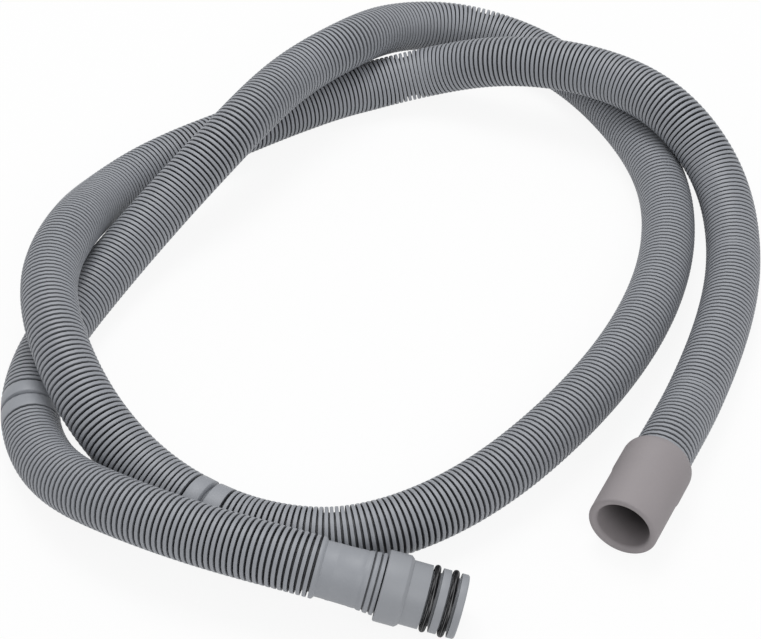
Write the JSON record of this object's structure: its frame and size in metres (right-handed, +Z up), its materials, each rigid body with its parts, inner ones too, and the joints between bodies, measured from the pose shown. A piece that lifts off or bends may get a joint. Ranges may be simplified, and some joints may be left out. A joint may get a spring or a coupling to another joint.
{
  "type": "dishwasher drain hose",
  "caption": "Grey corrugated dishwasher drain hose lying in loose loops, with a soft rubber cuff on one end and a moulded spigot with black O-rings on the other.",
  "frame": {"origin": "on the floor, under the middle of the laid-out hose's bounding box", "axes": "+Z up from the floor it lies on, -Y about the way the rubber cuff's mouth looks (8 degrees off), +X about the way the spigot points (8 degrees off, nose down)"},
  "size_m": [0.3196, 0.4052, 0.0511],
  "materials": {
    "hose_grey": "satin",
    "fitting_grey": "satin",
    "cuff_rubber": "matte",
    "ring_black": "matte"
  },
  "bodies": {
    "root": {"corrugated_hose": "hose_grey", "spigot_fitting": "fitting_grey", "o_ring_inner": "ring_black", "o_ring_outer": "ring_black", "drain_cuff": "cuff_rubber"}
  },
  "joints": []
}
